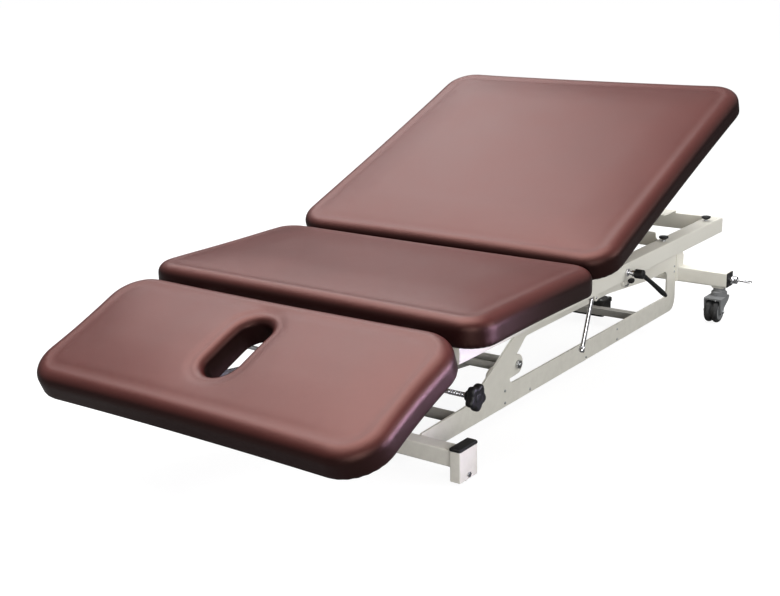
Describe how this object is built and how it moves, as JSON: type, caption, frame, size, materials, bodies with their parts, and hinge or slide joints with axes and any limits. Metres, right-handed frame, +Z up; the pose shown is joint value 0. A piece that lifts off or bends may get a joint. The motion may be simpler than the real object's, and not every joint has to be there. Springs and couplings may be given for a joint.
{
  "type": "hi-lo treatment table",
  "caption": "Wide padded treatment table with tilting head and back sections on a parallel-arm lift, on casters and rollers.",
  "frame": {"origin": "middle of the table's box, on the floor", "axes": "+X from the head end to the caster end, +Y to the table's left side, +Z up"},
  "size_m": [2.1694, 1.016, 0.8019],
  "materials": {
    "vinyl": "satin burgundy vinyl with a fine grain",
    "plywood": "plain birch plywood",
    "cream_paint": "cream powder coat, satin",
    "grey_paint": "grey powder coat, satin",
    "black_plastic": "black moulded plastic",
    "chrome": "bright chrome",
    "zinc": "zinc plated steel",
    "tyre_rubber": "charcoal rubber",
    "caster_grey": "grey moulded plastic"
  },
  "bodies": {
    "base": {"base_plate_right": "cream_paint", "base_plate_left": "cream_paint", "front_foot_beam": "cream_paint", "post_cap_right": "black_plastic", "post_cap_left": "black_plastic", "rear_foot_beam": "cream_paint", "rear_plug_right": "black_plastic", "rear_plug_left": "black_plastic", "front_cross_tube": "grey_paint", "rear_cross_bar": "grey_paint", "control_box": "black_plastic", "front_pivot_shaft": "zinc", "rear_pivot_shaft": "zinc", "roller_axle_right": "zinc", "roller_axle_left": "zinc"},
    "front_arms": {"front_lift_arms": "grey_paint"},
    "rear_arms": {"rear_lift_arms": "grey_paint"},
    "actuator_body": {"actuator_body": "black_plastic"},
    "actuator_rod": {"actuator_rod": "chrome"},
    "upper_frame": {"side_rail_right": "cream_paint", "side_rail_left": "cream_paint", "front_cross_member": "cream_paint", "hinge_cross_member": "cream_paint", "rear_cross_frame": "cream_paint", "back_rest_plate": "cream_paint", "bumper_rear_right": "black_plastic", "bumper_front_right": "black_plastic", "bumper_rear_left": "black_plastic", "bumper_front_left": "black_plastic", "mid_board": "plywood", "mid_cushion": "vinyl", "clamp_rod": "chrome", "head_hinge_rod": "zinc", "back_hinge_rod": "zinc", "clamp_stud_right": "chrome", "clamp_stud_left": "chrome"},
    "head_section": {"head_frame": "cream_paint", "head_board": "plywood", "head_cushion": "vinyl"},
    "back_section": {"back_frame": "cream_paint", "back_board": "plywood", "back_cushion": "vinyl"},
    "gas_cylinder": {"gas_spring_cylinder": "black_plastic"},
    "gas_rod": {"gas_spring_rod": "chrome"},
    "release_lever": {"release_lever": "chrome"},
    "head_stay_right": {"head_stay_right": "zinc"},
    "star_knob_right": {"star_knob_right": "black_plastic"},
    "clamp_lever_right": {"clamp_lever_right": "black_plastic"},
    "caster_fork_right": {"caster_fork_right": "caster_grey"},
    "caster_wheel_right": {"caster_wheel_right": "tyre_rubber"},
    "front_roller_right": {"front_roller_right": "tyre_rubber"},
    "plunger_right": {"plunger_right": "chrome"},
    "head_stay_left": {"head_stay_left": "zinc"},
    "star_knob_left": {"star_knob_left": "black_plastic"},
    "clamp_lever_left": {"clamp_lever_left": "black_plastic"},
    "caster_fork_left": {"caster_fork_left": "caster_grey"},
    "caster_wheel_left": {"caster_wheel_left": "tyre_rubber"},
    "front_roller_left": {"front_roller_left": "tyre_rubber"},
    "plunger_left": {"plunger_left": "chrome"}
  },
  "joints": [
    {"name": "lift", "type": "hinge", "parent": "base", "child": "front_arms", "pos_m": [-0.01629, 0, 0.125], "axis": [0, 1, 0], "range_deg": [0, 54.6]},
    {"name": "rear_arm_turn", "type": "hinge", "parent": "base", "child": "rear_arms", "pos_m": [0.63371, 0, 0.205], "axis": [0, 1, 0], "range_deg": [0, 54.6]},
    {"name": "top_level", "type": "hinge", "parent": "front_arms", "child": "upper_frame", "pos_m": [-0.613, 0, 0.18772], "axis": [0, 1, 0], "range_deg": [-54.6, 0]},
    {"name": "actuator_swing", "type": "hinge", "parent": "base", "child": "actuator_body", "pos_m": [0.74396, 0.125, 0.13611], "axis": [0, 1, 0], "range_deg": [0, 27.3]},
    {"name": "actuator_rod_turn", "type": "hinge", "parent": "rear_arms", "child": "actuator_rod", "pos_m": [0.56871, 0.125, 0.09242], "axis": [0, 1, 0], "range_deg": [-27.3, 0]},
    {"name": "head_tilt", "type": "hinge", "parent": "upper_frame", "child": "head_section", "pos_m": [-0.67689, 0, 0.4], "axis": [0, 1, 0], "range_deg": [-5.4, 42.6]},
    {"name": "back_tilt", "type": "hinge", "parent": "upper_frame", "child": "back_section", "pos_m": [-0.07559, 0, 0.4], "axis": [0, -1, 0], "range_deg": [-21.25, 28.75]},
    {"name": "gas_cylinder_swing", "type": "hinge", "parent": "upper_frame", "child": "gas_cylinder", "pos_m": [-0.11205, 0, 0.19319], "axis": [0, -1, 0], "range_deg": [-10.63, 14.38]},
    {"name": "gas_rod_turn", "type": "hinge", "parent": "back_section", "child": "gas_rod", "pos_m": [0.1314, 0, 0.43543], "axis": [0, -1, 0], "range_deg": [-14.38, 10.63]},
    {"name": "head_stay_turn_right", "type": "hinge", "parent": "head_section", "child": "head_stay_right", "pos_m": [-0.88646, -0.1395, 0.26402], "axis": [0, 1, 0], "range_deg": [-21.31, 2.71]},
    {"name": "star_knob_turn_right", "type": "hinge", "parent": "upper_frame", "child": "star_knob_right", "pos_m": [-0.50629, -0.4, 0.2175], "axis": [0, 1, 0], "range_deg": [-180, 180]},
    {"name": "clamp_lever_turn_right", "type": "hinge", "parent": "upper_frame", "child": "clamp_lever_right", "pos_m": [0.26041, -0.4363, 0.3475], "axis": [0, 1, 0], "range_deg": [-45, 90]},
    {"name": "caster_swivel_right", "type": "hinge", "parent": "base", "child": "caster_fork_right", "pos_m": [1.05871, -0.37, 0.1097], "axis": [0, 0, 1], "continuous": true},
    {"name": "caster_roll_right", "type": "hinge", "parent": "caster_fork_right", "child": "caster_wheel_right", "pos_m": [1.01871, -0.37, 0.0375], "axis": [0, 1, 0], "continuous": true},
    {"name": "front_roller_roll_right", "type": "hinge", "parent": "base", "child": "front_roller_right", "pos_m": [-0.50829, -0.366, 0.019], "axis": [0, 1, 0], "continuous": true},
    {"name": "plunger_pull_right", "type": "slide", "parent": "base", "child": "plunger_right", "axis": [0, -1, 0], "range_m": [0, 0.012], "stiffness_N_per_m": 400},
    {"name": "head_stay_turn_left", "type": "hinge", "parent": "head_section", "child": "head_stay_left", "pos_m": [-0.88646, 0.1395, 0.26402], "axis": [0, 1, 0], "range_deg": [-21.31, 2.71]},
    {"name": "star_knob_turn_left", "type": "hinge", "parent": "upper_frame", "child": "star_knob_left", "pos_m": [-0.50629, 0.4, 0.2175], "axis": [0, 1, 0], "range_deg": [-180, 180]},
    {"name": "clamp_lever_turn_left", "type": "hinge", "parent": "upper_frame", "child": "clamp_lever_left", "pos_m": [0.26041, 0.4363, 0.3475], "axis": [0, 1, 0], "range_deg": [-45, 90]},
    {"name": "caster_swivel_left", "type": "hinge", "parent": "base", "child": "caster_fork_left", "pos_m": [1.05871, 0.37, 0.1097], "axis": [0, 0, 1], "continuous": true},
    {"name": "caster_roll_left", "type": "hinge", "parent": "caster_fork_left", "child": "caster_wheel_left", "pos_m": [1.01871, 0.37, 0.0375], "axis": [0, 1, 0], "continuous": true},
    {"name": "front_roller_roll_left", "type": "hinge", "parent": "base", "child": "front_roller_left", "pos_m": [-0.50829, 0.366, 0.019], "axis": [0, 1, 0], "continuous": true},
    {"name": "plunger_pull_left", "type": "slide", "parent": "base", "child": "plunger_left", "axis": [0, 1, 0], "range_m": [0, 0.012], "stiffness_N_per_m": 400},
    {"name": "release_lever_swing", "type": "hinge", "parent": "upper_frame", "child": "release_lever", "pos_m": [0.10441, -0.385, 0.3105], "axis": [0, 1, 0], "range_deg": [0, 25], "stiffness_Nm_per_rad": 0.6}
  ],
  "couplings": [
    {"joint": "rear_arm_turn", "follows": "lift", "ratio": 1},
    {"joint": "top_level", "follows": "lift", "ratio": -1},
    {"joint": "actuator_swing", "follows": "lift", "ratio": 0.5},
    {"joint": "actuator_rod_turn", "follows": "lift", "ratio": -0.5},
    {"joint": "head_stay_turn_right", "follows": "head_tilt", "ratio": -0.5},
    {"joint": "head_stay_turn_left", "follows": "head_tilt", "ratio": -0.5},
    {"joint": "gas_cylinder_swing", "follows": "back_tilt", "ratio": 0.5},
    {"joint": "gas_rod_turn", "follows": "back_tilt", "ratio": -0.5}
  ]
}
